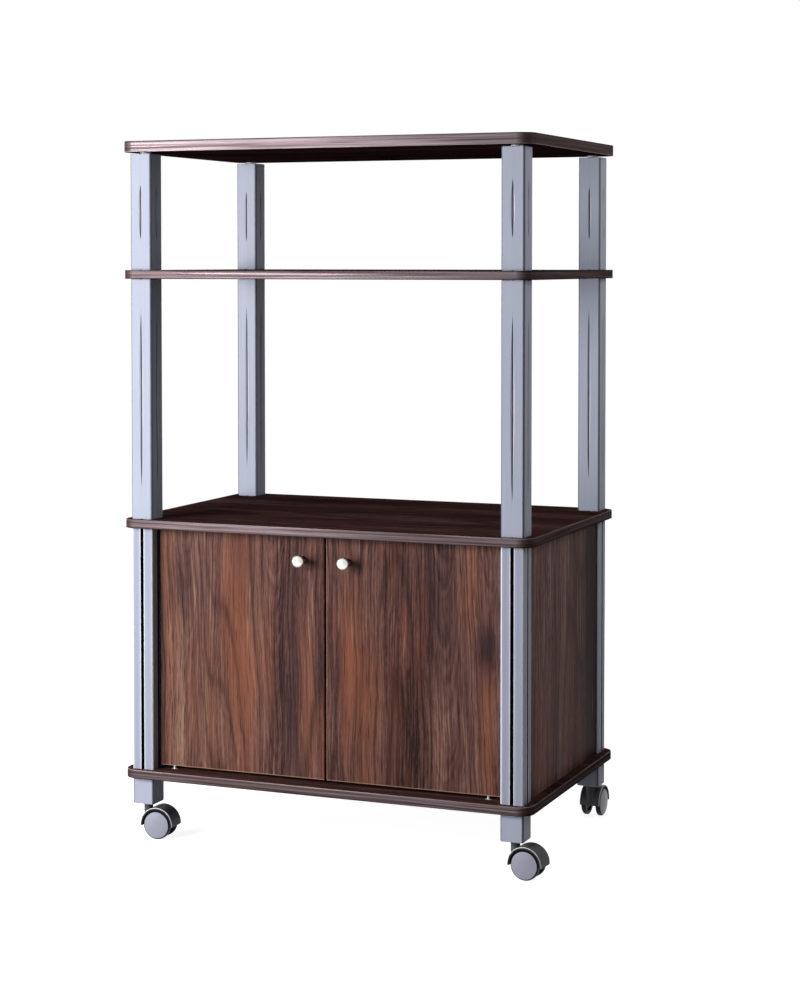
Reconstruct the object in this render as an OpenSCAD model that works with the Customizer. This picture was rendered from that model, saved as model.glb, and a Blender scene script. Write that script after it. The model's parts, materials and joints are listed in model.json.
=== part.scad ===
// Rolling microwave cart: four boards on square posts, a two-door cabinet and four twin-wheel casters.
// X runs along the front, the doors face -Y, Z is up. The origin is on the floor, midway between the casters.

/* [Boards] */
// Width of the boards
board_w = 600; // [460:1:800]
// Depth of the boards
board_d = 382; // [320:1:480]
// Thickness of the middle shelf, the cabinet top and the cabinet floor
board_t = 12; // [11:0.5:20]
// Thickness of the top shelf
top_t = 15; // [12:0.5:25]
// Corner radius of the boards
corner_r = 20; // [8:0.5:30]
// Thickness of the edge band
band_t = 1; // [0.8:0.1:2]
// Rounding of the edge band's two long edges
band_round = 0.7; // [0.3:0.1:0.8]

/* [Levels] */
// Height of the feet, between the casters and the cabinet floor
foot_h = 37; // [36:1:120]
// Inside height of the cabinet
cabinet_h = 338; // [240:1:600]
// Clear height of the microwave bay
bay_h = 334; // [150:1:500]
// Length of the upper posts
upper_h = 160.5; // [110:0.5:400]

/* [Posts] */
// Side of the square posts
post_side = 32.5; // [30:0.5:45]
// Rounding of the posts' long edges
post_r = 3; // [1:0.5:5]
// Wall of the moulded upper and middle posts
post_wall = 4.2; // [3.4:0.1:6]
// Thickness of the moulded posts' closed ends
post_end = 16; // [15:0.5:30]
// Bevel round the ends of the moulded posts and the feet
post_bevel = 0.8; // [0.3:0.1:0.8]
// Distance from the side edge of the boards to the posts
overhang_x = 11.75; // [6:0.25:30]
// Distance from the front and back edges of the boards to the posts
overhang_y = 8.75; // [6:0.25:30]
// Distance from a post's ends to its groove
groove_margin = 41; // [20:1:50]
// Width of the groove at its middle
groove_w = 5.5; // [3:0.5:9]
// Depth of the groove at its middle
groove_depth = 2.2; // [1:0.1:2.6]
// Width of the slots in the cabinet posts
slot_w = 4; // [3.5:0.5:6]
// Depth of the slots in the cabinet posts
slot_depth = 5; // [3:0.5:6]
// Wall of the cabinet posts and the feet
profile_wall = 2; // [1.5:0.1:3]

/* [Joints between the posts] */
// Diameter of the studs
stud_d = 8; // [6:0.5:8]
// Length of stud in each post
stud_engage = 14; // [10:0.5:14]
// Clearance round a stud in a board's hole
stud_clear = 0.3; // [0.1:0.1:1]
// Diameter of the disc under the top shelf
disc_d = 16; // [12:0.5:30]
// Height of the disc under the top shelf
disc_h = 2.5; // [2:0.5:10]
// Bevel on the lower rim of that disc
disc_bevel = 0.6; // [0.2:0.1:1.2]

/* [Cabinet] */
// Thickness of the side panels
panel_t = 12; // [9:0.5:18]
// Distance from the posts' outer faces to the side panels
panel_recess = 3; // [0.5:0.5:6]
// Thickness of the back panel
back_t = 3; // [2.5:0.1:3.2]
// Diameter of the dowels in the side panels
dowel_d = 6; // [5:0.5:8]
// Length of dowel in a side panel
dowel_panel = 15; // [10:1:30]
// Distance from the middle of a side panel to each of its dowels
dowel_y = 105; // [60:1:130]

/* [Doors] */
// Thickness of the doors
door_t = 12; // [11:0.5:18]
// Distance from the posts' front faces to the doors
door_recess = 15; // [4:0.5:18]
// Gap between the two doors
door_gap = 3; // [2:0.5:6]
// Gap between a door and its post
post_gap = 4; // [3:0.5:8]
// Gap above the doors
gap_above = 3; // [2:0.5:8]
// Gap under the doors
gap_below = 5.5; // [2.5:0.5:10]
// Rounding of the doors' upright edges
door_round = 1; // [0.5:0.1:2]
// Distance from a door's outer edge to its pivot
pivot_inset = 19; // [12:0.5:20]
// Diameter of the pivot pins
pivot_d = 4; // [3.5:0.5:6]
// Length of pivot pin in the door
pivot_in_door = 15; // [10:1:30]
// Diameter of the pivot bushes
bush_d = 9; // [8:0.5:12]
// Depth of the pivot bushes in the boards
bush_h = 8; // [6:0.5:9]

/* [Knobs] */
// Diameter of a knob's head
knob_d = 18; // [14:0.5:24]
// Distance that a knob stands out from its door
knob_out = 23; // [18:0.5:30]
// Diameter of a knob's foot
knob_foot_d = 10; // [9.5:0.5:14]
// Diameter of a knob's stem
knob_stem_d = 7; // [6:0.5:9]
// Distance from a door's inner edge to its knob
knob_inset = 31.5; // [20:0.5:60]
// Distance from a door's top edge to its knob
knob_drop = 31; // [22:0.5:80]
// Diameter of the knob screws
screw_d = 4; // [3:0.5:4.5]

/* [Catch] */
// Width of the magnetic catch
catch_w = 44; // [36:1:60]
// Depth of the magnetic catch
catch_d = 13; // [10:0.5:20]
// Height of the magnetic catch
catch_h = 12; // [10:0.5:16]
// Width of the strike plates
plate_w = 16; // [12:0.5:18]
// Thickness of the strike plates
plate_t = 1; // [0.8:0.1:1.5]

/* [Casters] */
// Diameter of the wheels
wheel_d = 40; // [36:1:60]
// Width of one wheel
wheel_w = 9; // [8:0.5:12]
// Width over both wheels
caster_w = 32; // [31:0.5:40]
// Distance from the stem to the wheels' axle
trail = 18.5; // [15:0.5:22]
// Wall of the hood
hood_wall = 3; // [2:0.5:4]
// Rounding of the hood's two outer rims
hood_round = 1.4; // [0.4:0.1:1.6]
// Gap between the wheels and the hood
hood_gap = 1.5; // [1:0.5:3]
// Height of the neck above the top of the hood
neck_rise = 4; // [3:0.5:8]
// Diameter of the neck
neck_d = 12.5; // [11:0.5:12.5]
// Gap between the neck and the foot
neck_gap = 0.5; // [0.3:0.1:1]
// Diameter of the caster stems
stem_d = 8; // [6:0.5:8]
// Depth of the sockets in the feet
socket_h = 18; // [14:0.5:18]
// Diameter of the axles
axle_d = 5; // [4:0.5:6]
// Direction of the front left caster, 0 with its wheels to the right
heading_fl = 2; // [-180:1:180]
// Direction of the front right caster
heading_fr = -5; // [-180:1:180]
// Direction of the back left caster
heading_bl = 175; // [-180:1:180]
// Direction of the back right caster
heading_br = 89; // [-180:1:180]

/* [Hidden] */
$fn = 64;

walnut = "#553a33";
band_brown = "#8d7069";
silver_grey = "#a7aaba";
nickel = "#c9c7c2";
steel = "#b0b2b6";
black_plastic = "#222226";
pale_plastic = "#d8d4c8";
beech = "#c9a46c";
board_brown = "#4a3128";

running = 0.05;   // clearance round a pin that turns
eps = 0.5;        // how far a cutter runs past a face
blind = 3;        // board left at the bottom of a blind hole
corners = [[-1, -1], [1, -1], [-1, 1], [1, 1]];

// Levels
wheel_r = wheel_d / 2;
hood_in = wheel_r + hood_gap;
hood_out = hood_in + hood_wall;
neck_top = wheel_r + hood_out + neck_rise;
foot_z = neck_top + neck_gap;
floor_z = foot_z + foot_h;
cabinet_z = floor_z + board_t;
cabinet_top_z = cabinet_z + cabinet_h;
bay_z = cabinet_top_z + board_t;
middle_z = bay_z + bay_h;
upper_z = middle_z + board_t;
top_z = upper_z + upper_h + disc_h;

// Posts
post_x = board_w / 2 - overhang_x - post_side / 2;
post_y = board_d / 2 - overhang_y - post_side / 2;
boss_r = stud_d / 2 + 2.5;
socket_d = stem_d + 4;
chamber_out = post_side / 2 - profile_wall;

// Cabinet
panel_x = post_x + post_side / 2 - panel_recess - panel_t / 2;
panel_d = 2 * post_y - post_side;
back_w = 2 * (post_x - post_side / 2 + slot_depth - 0.5);
dowel_board = board_t - blind;

// Doors
door_front = -(post_y + post_side / 2) + door_recess;
door_y = door_front + door_t / 2;
door_out = post_x - post_side / 2 - post_gap;
door_w = door_out - door_gap / 2;
door_x = (door_out + door_gap / 2) / 2;
door_z = cabinet_z + gap_below;
door_h = cabinet_h - gap_above - gap_below;
pivot_x = door_out - pivot_inset;
pivot_in_bush = bush_h - 1.5;
knob_x = door_gap / 2 + knob_inset;
knob_z = door_z + door_h - knob_drop;
screw_in_knob = 9;
screw_hole_d = screw_d + 0.4;
plate_x = door_gap / 2 + 2 + plate_w / 2;
plate_h = catch_h - gap_above - 0.5;

// Casters
web_t = caster_w - 2 * wheel_w - 2;
hub_depth = wheel_w - 1.5;
axle_l = web_t + 2 + 2 * (hub_depth - 0.5);
cap_r = wheel_r - 1.7;
cap_dome = 1.6;
arch_w = caster_w - 2;

// ---- shapes that several pieces share ----

module rounded_rect(w, d, r) {
    square([w - 2 * r, d], center = true);
    square([w, d - 2 * r], center = true);
    for (x = [-1, 1], y = [-1, 1]) translate([x * (w / 2 - r), y * (d / 2 - r)]) circle(r);
}

module at_corners() {
    for (c = corners) translate([c[0] * post_x, c[1] * post_y, 0]) children();
}

module at_post(sx, sy, z) {
    translate([sx * post_x, sy * post_y, z]) children();
}

// A board without its edge band, its underside at z = 0
module board_core(t) {
    linear_extrude(t) rounded_rect(board_w - 2 * band_t, board_d - 2 * band_t, corner_r - band_t);
}

module stud_holes(t) {
    at_corners() translate([0, 0, -eps]) cylinder(d = stud_d + 2 * stud_clear, h = t + 2 * eps);
}

// Section of a strip t thick and w wide: inner face on x = 0, its two outer edges rounded
module strip_section(t, w, r) {
    intersection() {
        square([t, w]);
        union() {
            square([t - r, w]);
            translate([0, r]) square([t, w - 2 * r]);
            for (y = [r, w - r]) translate([t - r, y]) circle(r, $fn = 24);
        }
    }
}

module band_section(t) {
    strip_section(band_t, t, band_round);
}

// The edge band of one board: straight runs, and a quarter turn at each corner
module edge_band(t) {
    run_x = board_w - 2 * corner_r;
    run_y = board_d - 2 * corner_r;
    for (turn = [0, 180]) rotate(turn) {
        translate([board_w / 2 - band_t, run_y / 2, 0]) rotate([90, 0, 0]) linear_extrude(run_y)
            band_section(t);
        translate([-run_x / 2, board_d / 2 - band_t, 0]) rotate([90, 0, 90]) linear_extrude(run_x)
            band_section(t);
        translate([run_x / 2, run_y / 2, 0]) rotate_extrude(angle = 90) translate([corner_r - band_t, 0])
            band_section(t);
        translate([-run_x / 2, run_y / 2, 0]) rotate(90) rotate_extrude(angle = 90)
            translate([corner_r - band_t, 0]) band_section(t);
    }
}

// Cutter for a boat-shaped groove of length l in the post face at x = post_side / 2: the V-shaped rim of a
// large wheel, which runs out to a point at both ends
module groove_cutter(l) {
    wheel = (l * l / 4 + groove_depth * groove_depth) / (2 * groove_depth);
    sweep = 2.4 * asin(l / 2 / wheel);
    back = groove_depth + 1;
    translate([post_side / 2 + wheel - groove_depth, 0, 0]) rotate([90, 0, 0]) rotate(180 - sweep / 2)
        rotate_extrude(angle = sweep, $fn = ceil(360 / sweep * 16))
            polygon([[wheel, 0], [wheel - back, groove_w / 2 * back / groove_depth],
                     [wheel - back, -groove_w / 2 * back / groove_depth]]);
}

// The bevel at the lower end of a post: two crossed bars with sloping sides, and a cone at each corner
module bevelled_end() {
    half = post_side / 2;
    flat = half - post_bevel;
    run = post_side - 2 * post_r;
    for (turn = [0, 90]) rotate([90, 0, turn]) translate([0, 0, -run / 2]) linear_extrude(run)
        polygon([[-flat, 0], [flat, 0], [half, post_bevel], [-half, post_bevel]]);
    for (x = [-1, 1], y = [-1, 1]) translate([x * run / 2, y * run / 2, 0])
        cylinder(r1 = post_r - post_bevel, r2 = post_r, h = post_bevel);
}

// Square bar of length l, bevelled round both ends
module bevelled_bar(l) {
    translate([0, 0, post_bevel]) linear_extrude(l - 2 * post_bevel)
        rounded_rect(post_side, post_side, post_r);
    bevelled_end();
    translate([0, 0, l]) mirror([0, 0, 1]) bevelled_end();
}

// A moulded post of length l: hollow between two thick ends that take the studs, grooved on four faces
module moulded_post(l) {
    inner = post_side - 2 * post_wall;
    difference() {
        bevelled_bar(l);
        translate([0, 0, post_end]) linear_extrude(l - 2 * post_end) square(inner, center = true);
        for (z = [-eps, l - stud_engage]) translate([0, 0, z]) cylinder(d = stud_d, h = stud_engage + eps);
        for (side = [0:3]) rotate(90 * side) translate([0, 0, l / 2]) groove_cutter(l - 2 * groove_margin);
    }
}

// The four corner chambers of an extruded post, round a boss of radius r
module chambers(r, rib) {
    for (side = [0:3]) rotate(90 * side) difference() {
        translate([rib, rib]) square(chamber_out - rib);
        circle(r);
    }
}

// ---- boards ----

module top_shelf() {
    color(walnut) difference() {
        translate([0, 0, top_z]) board_core(top_t);
        at_corners() translate([0, 0, top_z - eps]) cylinder(d = stud_d, h = top_t - blind + eps);
    }
}

module middle_shelf() {
    color(walnut) translate([0, 0, middle_z]) difference() {
        board_core(board_t);
        stud_holes(board_t);
    }
}

module pivot_holes() {
    for (x = [-1, 1]) translate([x * pivot_x, door_y, 0]) cylinder(d = bush_d, h = bush_h + eps);
}

module dowel_holes() {
    for (x = [-1, 1], y = [-1, 1]) translate([x * panel_x, y * dowel_y, 0])
        cylinder(d = dowel_d, h = dowel_board + eps);
}

module cabinet_top() {
    color(walnut) translate([0, 0, cabinet_top_z]) difference() {
        board_core(board_t);
        stud_holes(board_t);
        translate([0, 0, -eps]) {
            pivot_holes();
            dowel_holes();
        }
    }
}

module cabinet_floor() {
    color(walnut) translate([0, 0, floor_z]) difference() {
        board_core(board_t);
        stud_holes(board_t);
        translate([0, 0, board_t + eps]) mirror([0, 0, 1]) {
            pivot_holes();
            dowel_holes();
        }
    }
}

module edge_bands() {
    color(band_brown) {
        translate([0, 0, top_z]) edge_band(top_t);
        for (z = [floor_z, cabinet_top_z, middle_z]) translate([0, 0, z]) edge_band(board_t);
    }
}

// ---- posts and what joins them ----

module upper_post() {
    color(silver_grey) moulded_post(upper_h);
}

module middle_post() {
    color(silver_grey) moulded_post(bay_h);
}

// Extruded post with a slot in each face, a stud bore in the middle and four corner chambers
module cabinet_post() {
    color(silver_grey) linear_extrude(cabinet_h) difference() {
        rounded_rect(post_side, post_side, post_r);
        for (side = [0:3]) rotate(90 * side) translate([post_side / 2 - slot_depth, -slot_w / 2])
            square([slot_depth + eps, slot_w]);
        chambers(boss_r, slot_w / 2 + profile_wall);
        circle(d = stud_d);
    }
}

// Short moulded foot: open chambers at the top, closed at the bottom round the caster socket
module foot() {
    color(silver_grey) difference() {
        bevelled_bar(foot_h);
        translate([0, 0, 2 * profile_wall]) linear_extrude(foot_h)
            chambers(socket_d / 2 + 2.5, profile_wall / 2);
        translate([0, 0, -eps]) cylinder(d = socket_d, h = socket_h + eps);
        translate([0, 0, foot_h - stud_engage]) cylinder(d = stud_d, h = stud_engage + eps);
    }
}

module joint_studs() {
    color(steel) for (z = [floor_z, cabinet_top_z, middle_z]) at_corners()
        translate([0, 0, z - stud_engage]) cylinder(d = stud_d, h = board_t + 2 * stud_engage);
}

// Disc with a stud down into the upper post and a spigot up into the top shelf
module top_connectors() {
    color(silver_grey) at_corners() translate([0, 0, top_z - disc_h]) {
        cylinder(d1 = disc_d - 2 * disc_bevel, d2 = disc_d, h = disc_bevel);
        translate([0, 0, disc_bevel]) cylinder(d = disc_d, h = disc_h - disc_bevel);
        translate([0, 0, -stud_engage]) cylinder(d = stud_d, h = stud_engage + disc_h + top_t - blind);
    }
}

module caster_sockets() {
    color(steel) at_corners() translate([0, 0, foot_z]) difference() {
        cylinder(d = socket_d, h = socket_h);
        translate([0, 0, -eps]) cylinder(d = stem_d + 2 * running, h = socket_h - 1 + eps);
    }
}

// ---- cabinet ----

module side_panel() {
    color(walnut) difference() {
        translate([-panel_t / 2, -panel_d / 2, 0]) cube([panel_t, panel_d, cabinet_h]);
        for (y = [-dowel_y, dowel_y], z = [-eps, cabinet_h - dowel_panel]) translate([0, y, z])
            cylinder(d = dowel_d, h = dowel_panel + eps);
    }
}

module left_side_panel() {
    translate([-panel_x, 0, cabinet_z]) side_panel();
}

module right_side_panel() {
    translate([panel_x, 0, cabinet_z]) side_panel();
}

module back_panel() {
    color(board_brown) translate([-back_w / 2, post_y - back_t / 2, cabinet_z])
        cube([back_w, back_t, cabinet_h]);
}

module panel_dowels() {
    color(beech) for (x = [-panel_x, panel_x], y = [-dowel_y, dowel_y]) {
        translate([x, y, cabinet_z - dowel_board]) cylinder(d = dowel_d, h = dowel_board + dowel_panel);
        translate([x, y, cabinet_top_z - dowel_panel]) cylinder(d = dowel_d, h = dowel_board + dowel_panel);
    }
}

// ---- doors: each is drawn as the right-hand one, and side = -1 mirrors it ----

module on_door(side) {
    if (side < 0) mirror([1, 0, 0]) children();
    else children();
}

module door(side) {
    color(walnut) on_door(side) difference() {
        translate([door_x, door_y, door_z]) linear_extrude(door_h) rounded_rect(door_w, door_t, door_round);
        for (z = [door_z - eps, door_z + door_h - pivot_in_door]) translate([pivot_x, door_y, z])
            cylinder(d = pivot_d, h = pivot_in_door + eps);
        translate([knob_x, door_front - eps, knob_z]) rotate([-90, 0, 0])
            cylinder(d = screw_hole_d, h = door_t + 2 * eps);
    }
}

// Half section of a knob: foot, waisted stem and mushroom head, blind screw hole along the axis
module knob_section() {
    head_r = knob_d / 2;
    head_h = 0.55 * head_r;
    head_z = knob_out - head_h - 3;
    difference() {
        polygon(concat(
            [[0, 0], [knob_foot_d / 2, 0], [knob_foot_d / 2, 1.5], [knob_stem_d / 2, 3.5],
             [knob_stem_d / 2, head_z - 3]],
            [for (a = [-60:15:0]) [head_r - 1.5 + 1.5 * cos(a), head_z + 1.5 + 1.5 * sin(a)]],
            [for (a = [10:10:90]) [(head_r) * cos(a), head_z + 1.5 + (head_h + 1.5) * sin(a)]]
        ));
        translate([0, -eps]) square([screw_d / 2, screw_in_knob + eps]);
    }
}

module knob(side) {
    color(nickel) on_door(side) translate([knob_x, door_front, knob_z]) rotate([90, 0, 0])
        rotate_extrude() knob_section();
}

module knob_screw(side) {
    color(steel) on_door(side) translate([knob_x, door_front + door_t, knob_z]) rotate([90, 0, 0]) {
        cylinder(d = screw_d, h = door_t + screw_in_knob);
        translate([0, 0, -2]) cylinder(d = 2 * screw_d, h = 2);
    }
}

// The lower pin carries the door: one end bears in the door and the other on the bottom of its bush
module hinge_pins(side) {
    color(steel) on_door(side) translate([pivot_x, door_y, 0]) {
        translate([0, 0, cabinet_z - pivot_in_bush])
            cylinder(d = pivot_d, h = pivot_in_bush + gap_below + pivot_in_door);
        translate([0, 0, door_z + door_h - pivot_in_door])
            cylinder(d = pivot_d, h = pivot_in_door + gap_above + pivot_in_bush - eps);
    }
}

// Blind bush for a pivot pin, its mouth at the top
module bush() {
    difference() {
        cylinder(d = bush_d, h = bush_h);
        translate([0, 0, bush_h - pivot_in_bush]) cylinder(d = pivot_d + 2 * running, h = bush_h);
    }
}

module hinge_bushes() {
    color(pale_plastic) for (x = [-pivot_x, pivot_x]) translate([x, door_y, 0]) {
        translate([0, 0, cabinet_z - bush_h]) bush();
        translate([0, 0, cabinet_top_z + bush_h]) mirror([0, 0, 1]) bush();
    }
}

module strike_plate(side) {
    color(steel) on_door(side)
        translate([plate_x - plate_w / 2, door_front + door_t, door_z + door_h - plate_h])
            cube([plate_w, plate_t, plate_h]);
}

// Housing under the cabinet top with a raised magnet for each door
module magnetic_catch() {
    face = 1.5;
    front = door_front + door_t + plate_t + 0.3;
    color(black_plastic) {
        translate([-catch_w / 2, front + face, cabinet_top_z - catch_h])
            cube([catch_w, catch_d - face, catch_h]);
        for (x = [-plate_x, plate_x]) translate([x - plate_w / 2, front, cabinet_top_z - catch_h + 1])
            cube([plate_w, face, catch_h - 3.5]);
    }
}

// ---- casters: each is drawn with its stem on the Z axis and its wheels towards +X ----

// Everything above a level a little under the axle
module upper_half() {
    drop = 1.5;
    translate([-2 * wheel_d, -caster_w, -drop]) cube([4 * wheel_d, 2 * caster_w, 2 * wheel_d]);
}

module across(r, w) {
    rotate([90, 0, 0]) cylinder(r = r, h = w, center = true);
}

// Ring over both wheels, its outer rims rounded
module arch() {
    rotate([90, 0, 0]) rotate_extrude() translate([hood_in, -arch_w / 2])
        strip_section(hood_wall, arch_w, hood_round);
}

// Arched hood with a neck for the stem, and a web between the wheels that carries the axle
module hood() {
    color(black_plastic) difference() {
        union() {
            difference() {
                union() {
                    translate([trail, 0, wheel_r]) intersection() {
                        arch();
                        upper_half();
                    }
                    translate([0, 0, wheel_r]) cylinder(d = neck_d, h = neck_top - wheel_r);
                }
                translate([trail, 0, wheel_r]) across(hood_in, caster_w);
            }
            translate([trail, 0, wheel_r]) intersection() {
                across(hood_in + hood_wall / 2, web_t);
                upper_half();
            }
            translate([trail, 0, wheel_r]) across(1.5 * axle_d, web_t);
        }
        translate([0, 0, foot_z - socket_h]) cylinder(d = stem_d, h = socket_h);
        translate([trail, 0, wheel_r]) across(axle_d / 2, caster_w);
    }
}

// Steel stem with a bevelled top and the groove of its snap ring
module stem() {
    top = foot_z + socket_h - 2;
    color(steel) difference() {
        union() {
            translate([0, 0, foot_z - socket_h]) cylinder(d = stem_d, h = top - foot_z + socket_h - 1);
            translate([0, 0, top - 1]) cylinder(d1 = stem_d, d2 = stem_d - 2, h = 1);
        }
        translate([0, 0, top - 5]) difference() {
            cylinder(d = stem_d + eps, h = 1);
            cylinder(d = stem_d - 1.5, h = 1);
        }
    }
}

module axle() {
    color(steel) translate([trail, 0, wheel_r]) across(axle_d / 2, axle_l);
}

// Half section of a wheel: x is the radius, y runs from the inner face to the domed cover disc
module wheel_section() {
    rim = wheel_w - cap_dome - 0.6;
    difference() {
        polygon(concat(
            [[0, 0], [axle_d / 2 + 3, 0], [axle_d / 2 + 3, wheel_w / 3], [wheel_r - 5, wheel_w / 3],
             [wheel_r - 5, 0.4], [wheel_r - 1, 0.4], [wheel_r, 1.4]],
            [for (a = [0:15:60]) [wheel_r - 1.5 + 1.5 * cos(a), rim - 1.5 + 1.5 * sin(a)]],
            [[cap_r + 0.2, rim - 0.3]],
            [for (i = [0:6]) [cap_r * (1 - i / 6), wheel_w - cap_dome + cap_dome * (1 - pow(1 - i / 6, 2))]]
        ));
        translate([0, -eps]) square([axle_d / 2 + running, hub_depth + eps]);
    }
}

// side is 1 for the wheel on the left, seen from the stem
module wheel(side) {
    color(black_plastic) translate([trail, side * (caster_w / 2 - wheel_w), wheel_r])
        rotate([side * -90, 0, 0]) rotate_extrude() wheel_section();
}

module caster(sx, sy, heading) {
    at_post(sx, sy, 0) rotate(heading) children();
}

top_shelf();
middle_shelf();
cabinet_top();
cabinet_floor();
edge_bands();
at_post(-1, -1, upper_z) upper_post();  // upper_post_fl
at_post(1, -1, upper_z) upper_post();  // upper_post_fr
at_post(-1, 1, upper_z) upper_post();  // upper_post_bl
at_post(1, 1, upper_z) upper_post();  // upper_post_br
at_post(-1, -1, bay_z) middle_post();  // middle_post_fl
at_post(1, -1, bay_z) middle_post();  // middle_post_fr
at_post(-1, 1, bay_z) middle_post();  // middle_post_bl
at_post(1, 1, bay_z) middle_post();  // middle_post_br
at_post(-1, -1, cabinet_z) cabinet_post();  // cabinet_post_fl
at_post(1, -1, cabinet_z) cabinet_post();  // cabinet_post_fr
at_post(-1, 1, cabinet_z) cabinet_post();  // cabinet_post_bl
at_post(1, 1, cabinet_z) cabinet_post();  // cabinet_post_br
at_post(-1, -1, foot_z) foot();  // foot_fl
at_post(1, -1, foot_z) foot();  // foot_fr
at_post(-1, 1, foot_z) foot();  // foot_bl
at_post(1, 1, foot_z) foot();  // foot_br
joint_studs();
top_connectors();
caster_sockets();
left_side_panel();
right_side_panel();
back_panel();
panel_dowels();
door(-1);  // left_door
door(1);  // right_door
knob(-1);  // left_knob
knob(1);  // right_knob
knob_screw(-1);  // left_knob_screw
knob_screw(1);  // right_knob_screw
hinge_pins(-1);  // left_hinge_pins
hinge_pins(1);  // right_hinge_pins
hinge_bushes();
strike_plate(-1);  // left_strike_plate
strike_plate(1);  // right_strike_plate
magnetic_catch();
caster(-1, -1, heading_fl) hood();  // caster_hood_fl
caster(1, -1, heading_fr) hood();  // caster_hood_fr
caster(-1, 1, heading_bl) hood();  // caster_hood_bl
caster(1, 1, heading_br) hood();  // caster_hood_br
caster(-1, -1, heading_fl) stem();  // caster_stem_fl
caster(1, -1, heading_fr) stem();  // caster_stem_fr
caster(-1, 1, heading_bl) stem();  // caster_stem_bl
caster(1, 1, heading_br) stem();  // caster_stem_br
caster(-1, -1, heading_fl) axle();  // caster_axle_fl
caster(1, -1, heading_fr) axle();  // caster_axle_fr
caster(-1, 1, heading_bl) axle();  // caster_axle_bl
caster(1, 1, heading_br) axle();  // caster_axle_br
caster(-1, -1, heading_fl) wheel(1);  // wheel_fl_left
caster(-1, -1, heading_fl) wheel(-1);  // wheel_fl_right
caster(1, -1, heading_fr) wheel(1);  // wheel_fr_left
caster(1, -1, heading_fr) wheel(-1);  // wheel_fr_right
caster(-1, 1, heading_bl) wheel(1);  // wheel_bl_left
caster(-1, 1, heading_bl) wheel(-1);  // wheel_bl_right
caster(1, 1, heading_br) wheel(1);  // wheel_br_left
caster(1, 1, heading_br) wheel(-1);  // wheel_br_right
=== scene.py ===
import json
import math

import bpy
import numpy as np
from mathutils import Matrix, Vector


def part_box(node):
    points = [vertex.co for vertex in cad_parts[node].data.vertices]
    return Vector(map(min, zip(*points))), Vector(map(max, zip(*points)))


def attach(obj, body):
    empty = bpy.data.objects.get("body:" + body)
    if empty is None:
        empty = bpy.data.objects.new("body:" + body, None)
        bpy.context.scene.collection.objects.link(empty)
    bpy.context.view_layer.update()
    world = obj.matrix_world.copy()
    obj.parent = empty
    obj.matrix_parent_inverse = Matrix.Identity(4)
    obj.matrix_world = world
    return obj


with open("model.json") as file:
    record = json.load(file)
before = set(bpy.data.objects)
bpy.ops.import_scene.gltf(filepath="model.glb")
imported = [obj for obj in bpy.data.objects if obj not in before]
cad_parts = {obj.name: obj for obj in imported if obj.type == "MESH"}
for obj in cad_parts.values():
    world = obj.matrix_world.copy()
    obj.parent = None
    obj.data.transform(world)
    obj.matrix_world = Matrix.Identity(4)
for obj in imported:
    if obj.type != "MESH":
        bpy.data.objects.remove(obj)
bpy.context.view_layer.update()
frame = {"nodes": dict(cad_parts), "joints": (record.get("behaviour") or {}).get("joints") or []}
mm = 0.001
corners = ("fl", "fr", "bl", "br")
sides = ("left", "right")
boards = ("top_shelf", "middle_shelf", "cabinet_top", "cabinet_floor")


viewpoint = {
    "place": (1.2066, -2.8680, 0.8062),  # metres: right of the cart and in front of it
    "yaw": 22.116,     # degrees to the left
    "pitch": 2.308,    # degrees down
    "lens": 79.20,     # mm on a 36 mm sensor
    "shift": -0.15,    # of the long side, keeps the posts nearly upright
}


def setCamera(look):
    # aimed by its pitch and yaw, and shifted instead of tipped
    data = bpy.data.cameras.new("camera")
    data.lens = look["lens"]
    data.shift_y = look["shift"]
    camera = bpy.data.objects.new("camera", data)
    camera.location = look["place"]
    camera.rotation_euler = (math.radians(90 - look["pitch"]), 0, math.radians(look["yaw"]))
    bpy.context.scene.collection.objects.link(camera)
    bpy.context.scene.camera = camera


setCamera(viewpoint)


class Wire:
    # an output socket that can be used in a sum
    def __init__(self, graph, socket):
        self.graph = graph
        self.socket = socket

    def __add__(self, other):
        return self.graph.maths("ADD", self, other)

    def __radd__(self, other):
        return self.graph.maths("ADD", other, self)

    def __sub__(self, other):
        return self.graph.maths("SUBTRACT", self, other)

    def __rsub__(self, other):
        return self.graph.maths("SUBTRACT", other, self)

    def __mul__(self, other):
        return self.graph.maths("MULTIPLY", self, other)

    def __rmul__(self, other):
        return self.graph.maths("MULTIPLY", other, self)

    def __truediv__(self, other):
        return self.graph.maths("DIVIDE", self, other)

    def __lt__(self, other):
        return self.graph.maths("LESS_THAN", self, other)

    def __gt__(self, other):
        return self.graph.maths("GREATER_THAN", self, other)

    def __abs__(self):
        return self.graph.maths("ABSOLUTE", self)

    def least(self, other):
        return self.graph.maths("MINIMUM", self, other)

    def most(self, other):
        return self.graph.maths("MAXIMUM", self, other)

    def clamp(self):
        return self.most(0).least(1)

    def bell(self, width):
        # e to the minus square: 1 at zero, gone at twice the width
        t = self / width
        return self.graph.maths("EXPONENT", t * t * -1)

    def above(self, floor, gain, top):
        # nothing up to the floor, then the excess times the gain, up to the top
        return ((self - floor).most(0) * gain).least(top)


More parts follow.
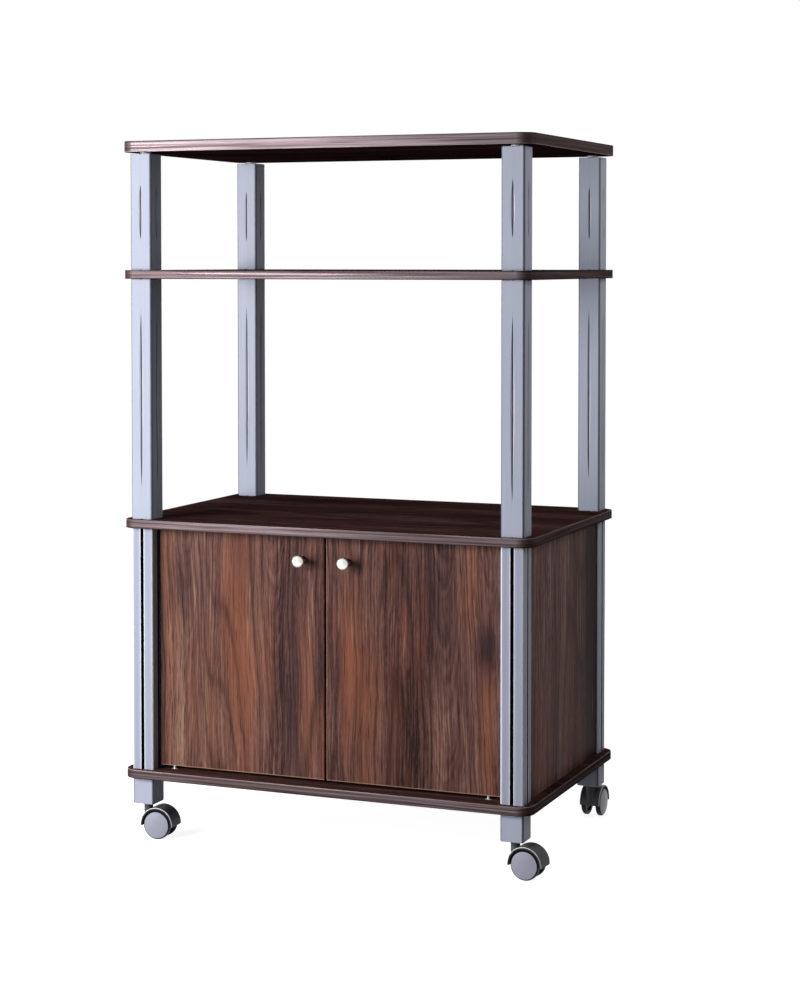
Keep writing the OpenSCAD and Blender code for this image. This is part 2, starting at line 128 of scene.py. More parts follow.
class Graph:
    # a node tree: add() makes any node and hands back one of its outputs
    def __init__(self, tree):
        self.tree = tree

    def add(self, kind, settings=None, values=None, out=0):
        node = self.tree.nodes.new("ShaderNode" + kind)
        for key, value in (settings or {}).items():
            if key == "stops":
                for place, colour in value[1:-1]:
                    node.color_ramp.elements.new(place)
                for stop, (place, colour) in zip(node.color_ramp.elements, value):
                    stop.position = place
                    stop.color = colour
            else:
                setattr(node, key, value)
        for key, value in (values or {}).items():
            if isinstance(value, Wire):
                self.tree.links.new(value.socket, node.inputs[key])
            else:
                node.inputs[key].default_value = value
        return Wire(self, node.outputs[out])

    def maths(self, operation, *values):
        return self.add("Math", {"operation": operation}, dict(enumerate(values)))

    def places(self):
        # the point on the object, in metres
        point = self.add("TexCoord", out=3)
        return [self.add("SeparateXYZ", None, {0: point}, out=i) for i in range(3)]

    def noise(self, x, y, z, detail=2.0, rough=0.5):
        point = self.add("CombineXYZ", None, {0: x, 1: y, 2: z})
        values = {"Vector": point, "Scale": 1.0, "Detail": detail, "Roughness": rough}
        return self.add("TexNoise", None, values)

    def evenNoise(self, places, pitch):
        # noise with the same pitch in all directions
        return self.noise(*(place * pitch for place in places))

    def mix(self, share, a, b):
        return self.add("Mix", {"data_type": "RGBA"}, {0: share, 6: a, 7: b}, out=2)


def ink(red, green, blue):
    # a screen colour, 0 to 255, as light: its share to the power 2.4, with a straight start
    c = np.array([red, green, blue]) / 255
    return (*np.where(c < 0.04045, c / 12.92, ((c + 0.055) / 1.055) ** 2.4), 1.0)


def darker(colour):
    # seven tenths of the light
    return (*(part * 0.7 for part in colour[:3]), 1.0)


class Finish(Graph):
    # a material with one Principled shader; fixed values go straight on its sockets
    def __init__(self, name, fixed):
        self.material = bpy.data.materials.new(name)
        self.material.use_nodes = True
        super().__init__(self.material.node_tree)
        self.shader = self.tree.nodes["Principled BSDF"]
        for key, value in fixed.items():
            self.shader.inputs[key].default_value = value

    def feed(self, socket, wire):
        self.tree.links.new(wire.socket, self.shader.inputs[socket])

    def bump(self, height, depth, strength):
        # height 0 to 1 stands for depth in metres
        values = {"Height": height, "Distance": depth, "Strength": strength}
        self.feed("Normal", self.add("Bump", None, values))


walnut = {
    "tones": [(0.10, ink(46, 31, 32)), (0.50, ink(108, 76, 69)), (0.92, ink(150, 115, 98))],
    "red": ink(138, 82, 60),
    "shade": ink(60, 45, 48),
    "pore": ink(40, 25, 24),
    "pale": ink(170, 134, 112),
    "crack": ink(38, 22, 22),
    "rough": 0.5,
    "gloss": 0.02,
    "sway": 0.034,             # metres that a grain line wanders
    "ripple": 0.0055,
    "broad": 1.25,             # strength of the wide, the middle and the fine grain
    "streak": 0.80,
    "hair": 1.15,
    "speck": 0.40,             # and of the short dashes
    "cracks": 0.7,
    "crackTurn": 44,           # radians that the cracks' noise spans, with a crack at each pi
    "crackWidth": 0.36,
    "clouds": (0.56, 2.24, 0.55),  # floor, gain and top, as in the next two lines
    "glints": (0.68, 6, 0.5),
    "pores": (0.58, 6, 0.8),
    "ringPitch": 55,           # per metre along an arch, and across it
    "ringSpread": 30,
    "veinMost": 0.92,
    "under": 0.7,              # how far painted shade darkens the lower half of a shelf
    "highlightHalfWidth": 1.1 * mm,        # half the width of a painted highlight along an edge, and how pale it is
    "highlightShare": 0.6,
    "relief": 0.12 * mm,
}
panelWood = dict(
    walnut,
    tones=[(0.10, ink(42, 29, 31)), (0.50, ink(118, 88, 84)), (0.92, ink(182, 148, 138))],
    red=ink(140, 84, 66),
    shade=ink(24, 17, 18),
    broad=1.5,
    gloss=0.014,
)
# painted shade: the walnut made darker for the boards, to stand for the shade on their faces
shadedShelfWood = dict(
    walnut,
    tones=[(0.10, ink(34, 20, 21)), (0.50, ink(74, 49, 49)), (0.92, ink(110, 80, 76))],
    red=ink(86, 52, 45),
    pale=ink(114, 84, 78),
    crack=ink(20, 10, 11),
    gloss=0.0,
)
beech = dict(
    walnut,
    tones=[(0.10, ink(170, 126, 78)), (0.50, ink(198, 155, 104)), (0.92, ink(216, 178, 130))],
    pore=ink(150, 104, 62),
    pale=ink(226, 192, 146),
    clouds=(0.56, 0, 0.55),
)

# pitch per metre across and along the grain, shift from the piece's seed, detail, roughness
grain = {
    "sway": (7, 2.4, 0, 2, 0.5),
    "ripple": (38, 11, 0, 2, 0.5),
    "broad": (14, 0.9, 0, 2, 0.5),
    "streak": (170, 3.2, 0, 3, 0.6),
    "hair": (420, 8, 0, 3, 0.65),
    "speck": (620, 90, 4.4, 1, 0.5),
    "red": (24, 3.6, 5.3, 2, 0.5),
    "shade": (24, 3.6, 9.1, 2, 0.5),
    "cracks": (12, 0.9, 8.3, 0, 0.5),
    "glints": (240, 8, 2.7, 1, 0.5),
    "pores": (1100, 26, 0, 1, 0.5),
}

# Axes are across the grain, along it and through the piece. Red and shade are veins: (place across, width,
# place along, length, strength). An arch is (place across, width, bend per metre, strength).
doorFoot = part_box("left_door")[0].z
leftDoor = {
    "axes": "xzy",
    "seed": 3.1,
    "red": [
        (-0.129, 0.020, 0.25, 0.20, 0.75), (-0.150, 0.012, 0.34, 0.10, 0.40),
        (-0.242, 0.010, 0.28, 0.16, 0.40), (-0.029, 0.010, 0.20, 0.12, 0.50),
        (-0.086, 0.012, 0.25, 0.07, 0.40), (-0.175, 0.012, 0.17, 0.08, 0.35),
        (-0.205, 0.010, 0.20, 0.08, 0.30),
    ],
    # the shade vein at -0.251, along the left edge of the door, is painted shade beside the post
    "shade": [
        (-0.218, 0.022, 0.36, 0.05, 0.70), (-0.062, 0.018, 0.20, 0.06, 0.65),
        (-0.045, 0.010, 0.36, 0.09, 0.40), (-0.188, 0.012, 0.30, 0.12, 0.30),
        (-0.251, 0.006, 0.27, 0.20, 0.60), (-0.100, 0.010, 0.36, 0.05, 0.30),
    ],
    "arches": [(-0.075, 0.034, 190, 0.65), (-0.215, 0.026, 220, 0.5)],
    # painted highlight: a pale strip along the foot of the door
    "edges": [("along", doorFoot)],
}
rightDoor = {
    "axes": "xzy",
    "seed": 7.7,
    "lift": -0.07,             # a little darker than its neighbour
    "red": [
        (0.036, 0.016, 0.27, 0.09, 0.75), (0.062, 0.020, 0.21, 0.08, 0.60),
        (0.138, 0.012, 0.31, 0.08, 0.30), (0.232, 0.012, 0.19, 0.11, 0.70),
        (0.215, 0.012, 0.40, 0.05, 0.40), (0.100, 0.012, 0.20, 0.10, 0.30),
    ],
    "shade": [
        (0.168, 0.028, 0.36, 0.08, 0.65), (0.234, 0.016, 0.298, 0.032, 1.30),
        (0.016, 0.006, 0.26, 0.06, 0.50), (0.090, 0.014, 0.16, 0.06, 0.35),
        (0.190, 0.020, 0.24, 0.06, 0.35),
    ],
    "arches": [(0.172, 0.040, 170, 0.75), (0.240, 0.020, 300, 0.6)],
    # painted highlights: pale strips along the door's left edge and its foot
    "edges": [("across", 1.5 * mm), ("along", doorFoot)],
}
sidePanel = {
    "axes": "yzx",
    "seed": 12.4,
    "red": [(-0.09, 0.04, 0.15, 0.12, 0.5), (0.02, 0.03, 0.20, 0.15, 0.3)],
    # the first two shade veins make the panel darker towards the back and along its front edge
    "shade": [
        (0.140, 0.055, 0.27, 0.80, 1.80), (-0.150, 0.012, 0.27, 0.80, 0.70),
        (-0.030, 0.020, 0.14, 0.10, 0.30),
    ],
    "arches": [(-0.07, 0.04, 180, 0.5)],
    "edges": [],
}
backBoard = dict(sidePanel, axes="xzy", seed=31.0, shade=[])
shelf = {
    "axes": "yxz",
    "seed": 21.0,
    "red": [(-0.10, 0.03, -0.10, 0.20, 0.25), (0.08, 0.03, 0.10, 0.20, 0.25)],
    "shade": [(0.02, 0.04, 0.0, 0.3, 0.3)],
    "arches": [(-0.03, 0.05, 120, 0.4)],
    "edges": [],
}
dowel = {"axes": "xzy", "seed": 2.0, "red": [], "shade": [], "arches": [], "edges": []}


def woodFinish(name, wood, piece):
    # Grain: four noises stretched along the piece, on lines that two more noises push sideways. Arches are
    # noise on (along - bend * across squared), so they run as nested parabolas. Clouds are the tops of two
    # stretched noises. A vein is a bell across the grain, times a bell along it, times the middle grain.
    # Cracks are the level lines of a wide noise, a bell on the sine of a multiple of it, where the middle
    # grain is light. Glints and pores are the tops of two fine noises. A painted highlight is a pale strip
    # along an edge, and painted shade darkens the lower half of a shelf.
    f = Finish(name, {"Specular IOR Level": wood["gloss"]})
    named = dict(zip("xyz", f.places()))
    across, along, through = (named[letter] for letter in piece["axes"])
    side = through * 3 + piece["seed"]

    def layer(kind, start):
        # noise on the start across the grain and the place along it, each times its pitch
        wide, long, shift, detail, rough = grain[kind]
        return f.noise(start * wide, along * long, side + shift, detail, rough)

    sway = layer("sway", across) - 0.5
    ripple = layer("ripple", across) - 0.5
    line = across + sway * wood["sway"] + ripple * wood["ripple"]
    broad, streak, hair, speck = (layer(kind, line) for kind in ("broad", "streak", "hair", "speck"))
    tone = (broad - 0.5) * wood["broad"] + (streak - 0.5) * wood["streak"] + (hair - 0.5) * wood["hair"]
    tone = tone + (speck - 0.5) * wood["speck"] + 0.5 + piece.get("lift", 0)
    for place, width, bend, strength in piece["arches"]:
        off = line - place
        height = (along - off * off * bend) * wood["ringPitch"]
        rings = f.noise(height, off * wood["ringSpread"], piece["seed"], 1.5) - 0.5
        tone = tone + rings * off.bell(width) * strength
    colour = f.add("ValToRGB", {"stops": wood["tones"]}, {0: tone})

    for tint in ("red", "shade"):
        colour = f.mix(layer(tint, line).above(*wood["clouds"]), colour, wood[tint])
    for tint in ("red", "shade"):
        for place, width, height, length, strength in piece[tint]:
            vein = (line - place).bell(width) * (along - height).bell(length) * (streak + 0.35)
            colour = f.mix((vein * strength).least(wood["veinMost"]), colour, wood[tint])

    levels = f.maths("SINE", layer("cracks", line) * wood["crackTurn"])
    crack = levels.bell(wood["crackWidth"]) * (streak * 2.2 - 0.5).clamp()
    colour = f.mix(crack * wood["cracks"], colour, wood["crack"])
    colour = f.mix(layer("glints", line).above(*wood["glints"]), colour, wood["pale"])
    floor, gain, top = wood["pores"]
    ticks = layer("pores", line).above(floor, (broad + 0.35) * gain, top)
    colour = f.mix(ticks, colour, wood["pore"])

    # painted shade: the lower half of a shelf board is darkened with the crack colour
    if "under" in piece:
        colour = f.mix((through < piece["under"]) * wood["under"], colour, wood["crack"])
    # painted highlight: a pale strip along each listed edge
    for direction, place in piece["edges"]:
        near = abs({"across": across, "along": along}[direction] - place) < wood["highlightHalfWidth"]
        colour = f.mix(near * wood["highlightShare"], colour, wood["pale"])
    f.feed("Base Color", colour)
    f.feed("Roughness", wood["rough"] + (streak - 0.5) * 0.12)
    f.bump(hair * 0.6 - ticks * 0.5, wood["relief"], 0.6)
    return f.material


edgeBand = {
    "dark": ink(46, 30, 27),
    "light": ink(82, 61, 57),
    "line": ink(28, 17, 16),
    "arris": ink(190, 172, 172),
    "pearl": ink(205, 192, 202),
    "rough": 0.28,
    "share": 0.195,            # of pearl at the top of the cart
    "lowShare": 0.45,          # how much of it is left at the floor
    "waver": 0.7,              # how far it wavers, and its limits
    "leastPearl": 0.02,
    "mostPearl": 0.4,
    "turn": 20 * mm,           # the corners' radius, along which the pearl fades
    "paintedSideShade": 0.75,            # share of it that the short sides lose, as painted shade
    "dashes": (0.6, 5, 0.5),   # floor, gain and top
    "paleWidth": 1.0 * mm,
    "darkWidth": 1.6 * mm,
    "paleEdges": (("top_shelf", 0), ("cabinet_top", 1), ("cabinet_floor", 1)),  # board, 0 low or 1 high
    "relief": 0.01 * mm,
}

# pitch per metre along the edge and up it, shift, detail, roughness
foil = {
    "slow": (3, 260, 0, 3, 0.6),
    "fine": (12, 1300, 0, 2, 0.5),
    "flake": (4, 420, 9, 2, 0.6),
    "dash": (16, 700, 4, 1, 0.5),
}


def bandFinish(name, look):
    # Foil with fine streaks that run round the board: noises that change fast with height and slowly
    # along the edge. A share of it is pearl, which is metal and wavers with one of the noises. It grows
    # evenly from the floor up, as painted light, and falls towards the short sides, over half of each
    # corner's reach in x, as painted shade. Bells on the height paint a highlight on some arrises and a
    # line of shade on the rest.
    f = Finish(name, {"Specular IOR Level": 0.0})
    x, y, z = f.places()
    slow, fine, flake, dash = (
        f.noise(x * pitch, y * pitch, z * rise + shift, detail, rough)
        for pitch, rise, shift, detail, rough in foil.values()
    )
    tone = (slow - 0.5) * 1.3 + (fine - 0.5) * 0.8 + 0.5
    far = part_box("edge_bands")[1]
    # painted light: the pearl grows with height
    share = (z / far.z * (1 - look["lowShare"]) + look["lowShare"]) * look["share"]
    pearl = ((flake - 0.5) * look["waver"] + share).most(look["leastPearl"]).least(look["mostPearl"])
    ends = {(board, end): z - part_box(board)[end].z for board in boards for end in (0, 1)}
    # painted highlight on the pale arrises, painted shade line on the others
    pale = sum(ends[key].bell(look["paleWidth"]) for key in look["paleEdges"])
    dark = sum(off.bell(look["darkWidth"]) for key, off in ends.items() if key not in look["paleEdges"])
    # painted shade: the pearl falls on the short sides
    flank = ((abs(x) - (far.x - look["turn"])) * (2 / look["turn"])).clamp()
    pearl = pearl * (1 - dark * 0.8) * (1 - flank * look["paintedSideShade"])

    colour = f.mix(tone.clamp(), look["dark"], look["light"])
    colour = f.mix(dash.above(*look["dashes"]), colour, look["line"])
    # the painted shade lines and painted highlights go on here
    colour = f.mix(dark * 0.85, colour, look["line"])
    colour = f.mix(pale * fine * 0.8, colour, look["arris"])
    f.feed("Base Color", f.mix(pearl, colour, look["pearl"]))
    f.feed("Metallic", pearl)
    f.feed("Roughness", look["rough"] + (fine - 0.5) * 0.15)
    f.bump(fine, look["relief"], 0.4)
    return f.material


silver = {
    "colour": ink(180, 185, 201),
    "deep": ink(155, 159, 178),
    "paintedHighlight": ink(228, 231, 244),
    "shadow": ink(22, 24, 38),
    "slot": ink(6, 6, 8),
    "rough": 0.42,
    "gloss": 0.07,
    "brush": (1400, 7),        # pitch per metre across the post and along it
    "cloud": (20, 5),
    "arris": 2.3 * mm,
    "sunk": 0.15 * mm,         # what lies deeper than this below the faces is in a groove
    "slit": 1.3 * mm,          # half of the painted shade line in a groove
    "slotHalf": 2.05 * mm,     # half a slot, with a little to spare
    "lip": 0.4 * mm,           # painted shade on the edge of a slot
    "bright": 1.6 * mm,        # how far the painted highlight beside it reaches
    "relief": 0.03 * mm,
}


def postFinish(name, look, post, slotted):
    # Silver paint with lengthwise brushing: noise fast across the post, slow along it. An arris is where
    # the point is near two faces at once. On a slotted post it has a painted highlight, as has the metal
    # beside the slot; the slot and its lip are painted black as shade, and each strip has painted shade, a
    # bell of deeper tone along its middle. On a moulded post the arris has painted shade, and a groove has
    # a painted highlight below the faces, with a painted bell of shadow on its middle line.
    f = Finish(name, {"Specular IOR Level": look["gloss"]})
    x, y, z = f.places()
    offX = abs(abs(x) - post["centre"][0])
    offY = abs(abs(y) - post["centre"][1])
    inner, outer = offX.least(offY), offX.most(offY)
    brush, cloud = (
        f.noise(x * wide, y * wide, z * long)
        for wide, long in (look["brush"], look["cloud"])
    )
    arris = inner > post["half"] - look["arris"]
    deep = brush * 0.8 + cloud * 0.4 - 0.1
    if slotted:
        # painted shade: a bell of deeper tone along the middle of each strip
        strip = (look["slotHalf"] + post["half"]) / 2
        deep = deep - (inner - strip).bell(post["half"] * 0.25) * 0.5
    colour = f.mix(deep.clamp(), look["deep"], look["colour"])
    if slotted:
        # painted highlight on the arris and beside the slot
        highlightMask = (arris * 0.9).most((inner < look["slotHalf"] + look["bright"]) * 0.8)
        colour = f.mix(highlightMask * (brush * 0.6 + 0.6), colour, look["paintedHighlight"])
        # the slot and its lip are painted black as shade
        colour = f.mix(inner < look["slotHalf"] + look["lip"], colour, look["slot"])
    else:
        below = outer < post["half"] - look["sunk"]
        # painted shade on the arris, painted highlight in the groove, painted shadow line along its middle
        colour = f.mix(arris * 0.6, colour, look["shadow"])
        colour = f.mix(below * (1 - arris) * 0.8, colour, look["paintedHighlight"])
        colour = f.mix(below * inner.bell(look["slit"]), colour, look["shadow"])
    f.feed("Base Color", colour)
    f.feed("Roughness", look["rough"] + (brush - 0.5) * 0.2)
    f.bump(brush, look["relief"], 0.4)
    return f.material


metals = {
    "nickel": {"colour": ink(240, 238, 234), "dullToneAndShade": ink(60, 54, 50), "rough": 0.30},
    "zinc": {"colour": ink(226, 228, 232), "dullToneAndShade": ink(170, 170, 170), "rough": 0.45},
}
knobStem = 7 * mm              # how much of a knob, next to the door, has painted shade
satinPitch = 2600              # per metre


def metalFinish(name, look, foot=None):
    # Satin metal: a fine even noise varies the roughness and the tone a little. Behind the plane y = foot
    # the metal has painted shade.
    f = Finish(name, {"Metallic": 1.0})
    x, y, z = f.places()
    fine = f.evenNoise((x, y, z), satinPitch)
    dullToneAndShade = fine * 0.3
    # painted shade: behind the foot plane the knob turns dark
    if foot is not None:
        dullToneAndShade = dullToneAndShade.most(y > foot)
    f.feed("Base Color", f.mix(dullToneAndShade, look["colour"], look["dullToneAndShade"]))
    f.feed("Roughness", look["rough"] + (fine - 0.5) * 0.1)
    return f.material


plastics = {
    "blackPlastic": {"colour": ink(30, 30, 33), "rough": 0.36, "gloss": 0.16, "relief": 0.06 * mm},
    "tread": {"colour": ink(20, 20, 22), "rough": 0.45, "gloss": 0.12, "relief": 0.03 * mm},
    "coverGrey": {"colour": ink(160, 161, 178), "rough": 0.34, "gloss": 0.3, "relief": 0.02 * mm},
    "connectorGrey": {"colour": ink(205, 205, 210), "rough": 0.2, "gloss": 0.5, "relief": 0.01 * mm},
    "natural": {"colour": ink(214, 208, 196), "rough": 0.4, "gloss": 0.4, "relief": 0.02 * mm},
}
cloudPitch = 60                # per metre, and of the fine grain on smooth parts and on the hoods
smoothPitch = 1800
hoodPitch = 1500


def plasticFinish(name, look):
    # Moulded plastic: the tone falls as the sum of a wide and a fine even noise grows.
    f = Finish(name, {"Specular IOR Level": look["gloss"]})
    places = f.places()
    fine = f.evenNoise(places, smoothPitch)
    cloud = f.evenNoise(places, cloudPitch)
    f.feed("Base Color", f.mix(cloud * 0.5 + fine * 0.3, look["colour"], darker(look["colour"])))
    f.feed("Roughness", look["rough"] + (cloud - 0.5) * 0.12)
    f.bump(fine, look["relief"], 0.5)
    return f.material


hood = {
    "colour": ink(84, 84, 88),
    "cheek": ink(12, 12, 14),
    "paintedHighlight": ink(245, 245, 250),
    "rough": 0.5,
    "gloss": 0.16,
    "relief": 0.14 * mm,
    "rim": 0.6 * mm,           # width of the painted highlight on the rim, and how far inside the corner it runs
    "rimInset": 0.4 * mm,
    "cheekDepth": 0.3 * mm,
}


def points(node):
    # the points of a node, one row each
    mesh = frame["nodes"][node].data
    flat = np.empty(len(mesh.vertices) * 3, np.float32)
    mesh.vertices.foreach_get("co", flat)
    return flat.reshape(-1, 3).astype(float)


def spinAxis(wheel):
    # the middle and the direction of a wheel's axle
    joint = next(j for j in frame["joints"] if j["name"].startswith("spin_") and j["child"] == wheel)
    return np.array(joint["pos_m"]), np.array(joint["axis"])


def measureHood(corner, hub, axis):
    # half a hood's width, and the greatest distance from the axle in the outer quarter of that width
    rel = points("caster_hood_" + corner) - hub
    out = np.abs(rel @ axis)
    distance = np.hypot(rel @ np.cross(axis, (0, 0, 1)), rel[:, 2])
    return float(out.max()), float(distance[out > out.max() * 0.75].max())


def hoodFinish(name, look, corner):
    # Spark-eroded plastic with a painted highlight on the two round rims, which are also smoother: a bell
    # on the distance from the axle, times a bell on the distance from the middle of the caster. The flat
    # cheeks are dark.
    f = Finish(name, {"Specular IOR Level": look["gloss"]})
    hub, axis = spinAxis("wheel_" + corner + "_left")
    halfWidth, radius = measureHood(corner, hub, axis)
    x, y, z = (place - float(middle) for place, middle in zip(f.places(), hub))
    beside = abs(x * float(axis[0]) + y * float(axis[1]))
    ahead = x * float(axis[1]) - y * float(axis[0])
    reach = f.maths("SQRT", ahead * ahead + z * z)
    rim = (reach - (radius - look["rimInset"])).bell(look["rim"])
    rim = rim * (beside - (halfWidth - look["rimInset"])).bell(look["rim"])
    cheek = (beside > halfWidth - look["cheekDepth"]) * 0.9
    fine = f.evenNoise((x, y, z), hoodPitch)
    cloud = f.evenNoise((x, y, z), cloudPitch)
    colour = f.mix((cloud + fine * 1.6 - 0.8).clamp(), look["colour"], darker(look["colour"]))
    colour = f.mix(cheek, colour, look["cheek"])
    # painted highlight on the rims
    f.feed("Base Color", f.mix(rim, colour, look["paintedHighlight"]))
    f.feed("Roughness", look["rough"] - rim * 0.3 + (cloud - 0.5) * 0.12)
    f.bump(fine * (1 - rim), look["relief"], 0.6)
    return f.material


def dress(material, *nodes):
    # the material takes the place of whatever the nodes wear
    for name in nodes:
        slots = frame["nodes"][name].data.materials
        slots.clear()
        slots.append(material)


def each(part, ends):
    # the names that start with the part
    return [part + end for end in ends]


postLow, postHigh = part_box("cabinet_post_fr")
post = {
    "centre": (abs(postLow.x + postHigh.x) / 2, abs(postLow.y + postHigh.y) / 2),
    "half": (postHigh.x - postLow.x) / 2,
}
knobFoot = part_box("left_door")[0].y - knobStem

dress(woodFinish("walnutLeftDoor", walnut, leftDoor), "left_door")
dress(woodFinish("walnutRightDoor", walnut, rightDoor), "right_door")
dress(woodFinish("walnutPanel", panelWood, sidePanel), "left_side_panel", "right_side_panel")
# each board gets painted shade below the middle of its thickness
for board in boards:
    low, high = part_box(board)
    dress(woodFinish("walnut_" + board, shadedShelfWood, dict(shelf, under=(low.z + high.z) / 2)), board)
dress(woodFinish("backBoard", walnut, backBoard), "back_panel")
dress(woodFinish("beech", beech, dowel), "panel_dowels")
dress(bandFinish("edgeBand", edgeBand), "edge_bands")
dress(postFinish("silverPost", silver, post, False),
      *each("upper_post_", corners), *each("middle_post_", corners), *each("foot_", corners))
dress(postFinish("slottedPost", silver, post, True), *each("cabinet_post_", corners))
dress(metalFinish("nickel", metals["nickel"], knobFoot), "left_knob", "right_knob")
dress(metalFinish("zinc", metals["zinc"]), "joint_studs", "caster_sockets",
      *(side + part for side in sides for part in ("_knob_screw", "_hinge_pins", "_strike_plate")),
      *each("caster_stem_", corners), *each("caster_axle_", corners))
finishes = {name: plasticFinish(name, look) for name, look in plastics.items()}
dress(finishes["connectorGrey"], "top_connectors")
dress(finishes["natural"], "hinge_bushes")
dress(finishes["blackPlastic"], "magnetic_catch")
for corner in corners:
    dress(hoodFinish("hood_" + corner, hood, corner), "caster_hood_" + corner)
    dress(finishes["tread"], *each("wheel_" + corner + "_", sides))
print("finishes:", len(bpy.data.materials))


cover = {
    "share": 0.915,            # of the wheel's radius
    "proud": 0.15 * mm,        # in front of the wheel's own dome
    "dome": 1.6 * mm,
    "lip": 0.5 * mm,           # radius of the rolled edge
    "skirt": 0.6 * mm,         # how far the edge goes down into the wheel
    "middle": 0.02,            # share of the dome's radius that the flat middle has
    "rings": 26,
    "lipRings": 7,
    "turns": 72,
}


def coverProfile(look, radius, apex):
    # Rows of (radius, height) from the middle: a shallow dome, its height falling with the square of the
    # radius, then nearly a quarter turn of the lip, and down into the wheel.
    r = np.linspace(look["middle"], 1, look["rings"]) * (radius - look["lip"])
    h = apex - look["dome"] * (r / radius) ** 2
    turn = np.linspace(0.15, 1, look["lipRings"]) * math.pi / 2
    edge = h[-1] - look["lip"] * (1 - np.cos(turn))
    lip = np.stack([r[-1] + look["lip"] * np.sin(turn), edge], axis=-1)
    foot = np.array([[radius, edge[-1] - look["skirt"]]])
    return np.concatenate([np.stack([r, h], axis=-1), lip, foot])


def lathe(profile, turns, centre, axis):
    # the profile carried round the axis: centre + radius * (cos * u + sin * v) + height * axis
    axis = axis / np.linalg.norm(axis)
    u = np.cross((0.0, 0.0, 1.0), axis)
    v = np.cross(axis, u)
    angle = np.arange(turns) * 2 * math.pi / turns
    ring = np.cos(angle)[:, None] * u + np.sin(angle)[:, None] * v
    return centre + profile[:, 0, None, None] * ring + profile[:, 1, None, None] * axis


def meshPiece(name, grid, material, body):
    # faces between the rows of a grid of points, each row closed into a ring, and one that fills each end
    rows, columns = grid.shape[:2]
    index = np.arange(rows * columns).reshape(rows, columns)
    ahead = np.roll(index, -1, axis=1)
    quads = np.stack([index[:-1], ahead[:-1], ahead[1:], index[1:]], axis=-1).reshape(-1, 4).tolist()
    caps = [index[0, ::-1].tolist(), index[-1].tolist()]
    mesh = bpy.data.meshes.new(name)
    mesh.from_pydata(grid.reshape(-1, 3).tolist(), [], quads + caps)
    mesh.shade_smooth()
    piece = bpy.data.objects.new(name, mesh)
    bpy.context.scene.collection.objects.link(piece)
    mesh.materials.append(material)
    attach(piece, body)


def addCover(look, corner, side):
    # a disc on the outer face of a wheel, from the middle of its axle outwards
    node = "wheel_" + corner + "_" + side
    centre, axis = spinAxis(node)
    outward = axis * (1 if side == "left" else -1)
    rel = points(node) - centre
    radius = rel[:, 2].max() * look["share"]
    profile = coverProfile(look, radius, (rel @ outward).max() + look["proud"])
    grid = lathe(profile, look["turns"], centre, outward)
    meshPiece("cover_" + corner + "_" + side, grid, finishes["coverGrey"], node)


for corner in corners:
    for side in sides:
        addCover(cover, corner, side)
print("wheel covers fitted")


studio = {
    "ambient": 0.075,
    "floorSeen": 0.80,         # how the camera sees the floor
    "floorBack": 0.25,         # what it throws back on the cart
    "floorGlow": 0.88,
    "floorSize": 12.0,
    "fadeSpan": 3,             # square metres over which the floor turns plain white
    "fadeStart": 0.25,         # of that span, where it starts
}
lamps = {
    "key": {"place": (-0.88, -1.42, 0.96), "aim": (-0.10, 0.0, 0.88), "size": (0.8, 0.5), "watts": 18.0},
    "low": {"place": (-1.30, -1.50, 0.50), "aim": (-0.1, 0.0, 0.30), "size": (1.3, 0.9), "watts": 32.0},
    "side": {"place": (1.00, 0.12, 1.08), "aim": (0.0, 0.08, 0.86), "size": (0.45, 0.7), "watts": 2.7},
    "rear": {"place": (-0.60, 2.30, 0.80), "aim": (0.0, 0.0, 0.50), "size": (1.2, 1.0), "watts": 16.0},
    "top": {"place": (-0.30, 0.30, 3.20), "aim": (0.0, 0.0, 0.50), "size": (1.6, 1.6), "watts": 4.0},
}


def raySeen(g):
    # 1 for what the camera sees, directly or in a mirror or glass
    rays = ("Is Camera Ray", "Is Glossy Ray", "Is Transmission Ray")
    camera, glossy, clear = (g.add("LightPath", out=name) for name in rays)
    return camera.most(glossy).most(clear)


def output(g, kind, wire):
    g.tree.links.new(wire.socket, g.tree.nodes.new("ShaderNodeOutput" + kind).inputs[0])


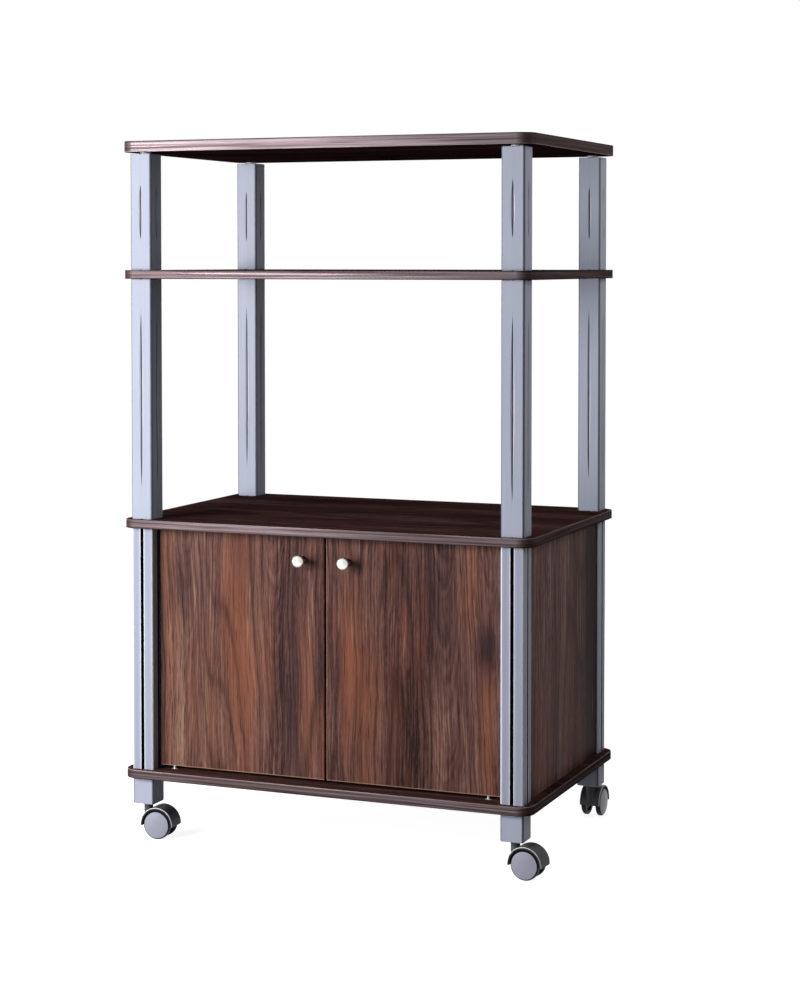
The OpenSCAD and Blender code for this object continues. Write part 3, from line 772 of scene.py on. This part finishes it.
def setWorld(look):
    # white where the camera looks, dim where it only lights
    world = bpy.data.worlds.new("studio")
    bpy.context.scene.world = world
    world.use_nodes = True
    g = Graph(world.node_tree)
    g.tree.nodes.clear()
    dim = g.add("Background", None, {"Color": (1, 1, 1, 1), "Strength": look["ambient"]})
    white = g.add("Background", None, {"Color": (1, 1, 1, 1), "Strength": 1.0})
    output(g, "World", g.add("MixShader", None, {0: raySeen(g), 1: dim, 2: white}))


def setFloor(look):
    # Matt paint with a glow that brings it up to white, so that only the shadow shows. It turns plain white
    # with the square of the distance from the middle.
    half = look["floorSize"] / 2
    square = [(-half, -half, 0), (half, -half, 0), (half, half, 0), (-half, half, 0)]
    mesh = bpy.data.meshes.new("floor")
    mesh.from_pydata(square, [], [(0, 1, 2, 3)])
    floor = bpy.data.objects.new("floor", mesh)
    bpy.context.scene.collection.objects.link(floor)
    paint = bpy.data.materials.new("floorPaint")
    paint.use_nodes = True
    g = Graph(paint.node_tree)
    g.tree.nodes.clear()
    back, front = ((look[key],) * 3 + (1,) for key in ("floorBack", "floorSeen"))
    matt = g.add("BsdfDiffuse", None, {"Color": g.mix(raySeen(g), back, front)})
    glow = g.add("Emission", None, {"Strength": raySeen(g) * look["floorGlow"]})
    lit = g.add("AddShader", None, {0: matt, 1: glow})
    plain = g.add("Emission", None, {"Strength": 1.0})
    x, y, z = g.places()
    away = ((x * x + y * y) / look["fadeSpan"] - look["fadeStart"]).clamp()
    output(g, "Material", g.add("MixShader", None, {0: away * raySeen(g), 1: lit, 2: plain}))
    mesh.materials.append(paint)


def setLamp(name, look):
    # an area lamp turned about x by its steepness, then about z towards its aim
    data = bpy.data.lights.new(name, "AREA")
    data.shape = "RECTANGLE"
    data.size, data.size_y = look["size"]
    data.energy = look["watts"]
    lamp = bpy.data.objects.new(name, data)
    lamp.location = look["place"]
    x, y, z = np.array(look["aim"]) - np.array(look["place"])
    lamp.rotation_euler = (math.atan2(math.hypot(x, y), -z), 0, math.atan2(-x, y))
    bpy.context.scene.collection.objects.link(lamp)


setWorld(studio)
setFloor(studio)
for name, look in lamps.items():
    setLamp(name, look)
bpy.context.scene.view_settings.view_transform = "Standard"
print("studio lit by", len(lamps), "lamps")
